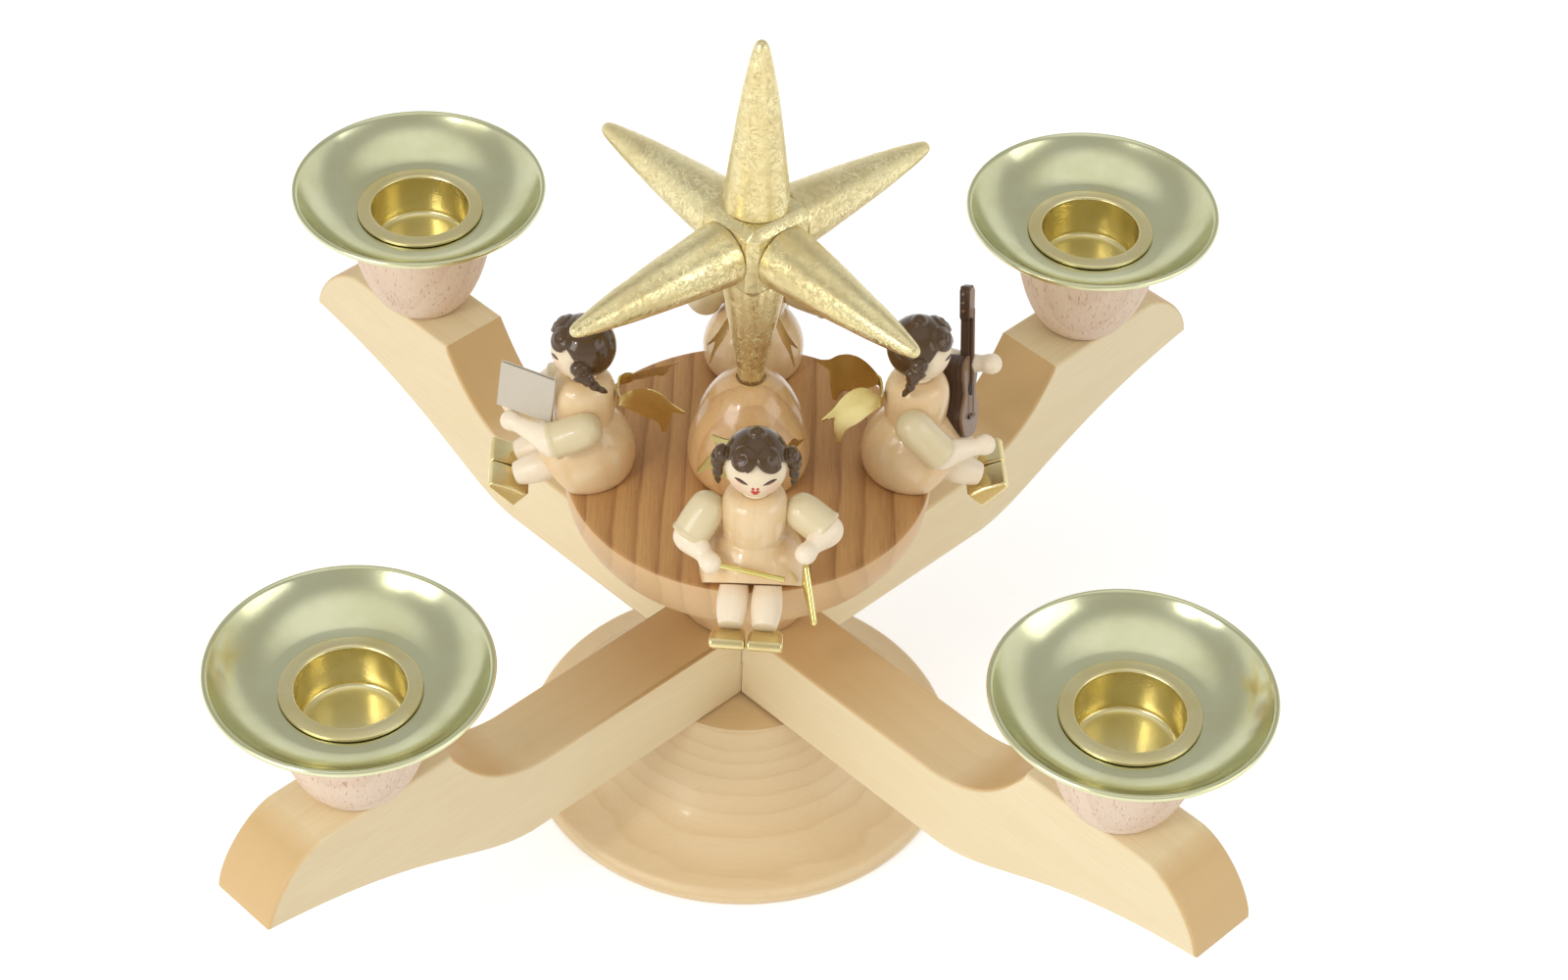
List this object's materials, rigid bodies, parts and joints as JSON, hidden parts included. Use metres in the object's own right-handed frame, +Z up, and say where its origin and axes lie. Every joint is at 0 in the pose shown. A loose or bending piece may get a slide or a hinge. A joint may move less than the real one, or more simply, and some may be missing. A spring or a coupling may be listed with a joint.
{
  "type": "candle holder",
  "caption": "Turned wooden candle holder: crossed bars on a bell foot carry candle cups with brass trays round a seat of angel figures and a gold spiked star.",
  "frame": {"origin": "on the table, under the middle of the foot", "axes": "+Z up; -Y is the front, where one angel faces the viewer; the bars run along the diagonals between X and Y"},
  "size_m": [0.2198, 0.2198, 0.206],
  "materials": {
    "pale_maple": "plain turned maple, satin",
    "lime_wood": "plain sawn lime wood, satin",
    "beech": "plain turned beech, satin",
    "lacquered_beech": "turned beech under clear gloss lacquer",
    "plain_beech": "plain turned beech, matt",
    "tray_brass": "polished pale brass sheet",
    "insert_brass": "brushed brass sheet",
    "gold_leaf": "wood under metal leaf, brushed",
    "clear_lacquered_wood": "turned wood under clear gloss lacquer",
    "head_and_hair": "ball with a painted face and glossy dark hair",
    "cream_sleeve_and_bare_arm": "cream stained sleeve, bare forearm",
    "bare_leg_and_gold_shoe": "bare leg with a gold painted shoe",
    "gold_sheet": "thin gold sheet",
    "walnut": "dark wood, satin",
    "grey_card": "stiff card, matt; the library's list has no card",
    "gold_wire": "bright gold wire"
  },
  "bodies": {
    "root": {"angel_back_arm_left": "cream_sleeve_and_bare_arm", "angel_back_arm_right": "cream_sleeve_and_bare_arm", "angel_back_body": "clear_lacquered_wood", "angel_back_head": "head_and_hair", "angel_back_leg_left": "bare_leg_and_gold_shoe", "angel_back_leg_right": "bare_leg_and_gold_shoe", "angel_back_wings": "gold_sheet", "angel_front_arm_left": "cream_sleeve_and_bare_arm", "angel_front_arm_right": "cream_sleeve_and_bare_arm", "angel_front_body": "clear_lacquered_wood", "angel_front_head": "head_and_hair", "angel_front_leg_left": "bare_leg_and_gold_shoe", "angel_front_leg_right": "bare_leg_and_gold_shoe", "angel_front_wings": "gold_sheet", "angel_left_arm_left": "cream_sleeve_and_bare_arm", "angel_left_arm_right": "cream_sleeve_and_bare_arm", "angel_left_body": "clear_lacquered_wood", "angel_left_head": "head_and_hair", "angel_left_leg_left": "bare_leg_and_gold_shoe", "angel_left_leg_right": "bare_leg_and_gold_shoe", "angel_left_wings": "gold_sheet", "angel_right_arm_left": "cream_sleeve_and_bare_arm", "angel_right_arm_right": "cream_sleeve_and_bare_arm", "angel_right_body": "clear_lacquered_wood", "angel_right_head": "head_and_hair", "angel_right_leg_left": "bare_leg_and_gold_shoe", "angel_right_leg_right": "bare_leg_and_gold_shoe", "angel_right_wings": "gold_sheet", "angel_seat_disc": "beech", "candle_cup_back_left": "plain_beech", "candle_cup_back_right": "plain_beech", "candle_cup_front_left": "plain_beech", "candle_cup_front_right": "plain_beech", "candle_insert_back_left": "insert_brass", "candle_insert_back_right": "insert_brass", "candle_insert_front_left": "insert_brass", "candle_insert_front_right": "insert_brass", "centre_dome": "lacquered_beech", "cross_bar_lower": "lime_wood", "cross_bar_upper": "lime_wood", "drip_tray_back_left": "tray_brass", "drip_tray_back_right": "tray_brass", "drip_tray_front_left": "tray_brass", "drip_tray_front_right": "tray_brass", "foot": "pale_maple", "guitar": "walnut", "song_book": "grey_card", "star_hub": "gold_leaf", "star_spike_back_left": "gold_leaf", "star_spike_back_right": "gold_leaf", "star_spike_down": "gold_leaf", "star_spike_front_left": "gold_leaf", "star_spike_front_right": "gold_leaf", "star_spike_up": "gold_leaf", "triangle": "gold_wire", "triangle_beater": "gold_wire"}
  },
  "joints": []
}
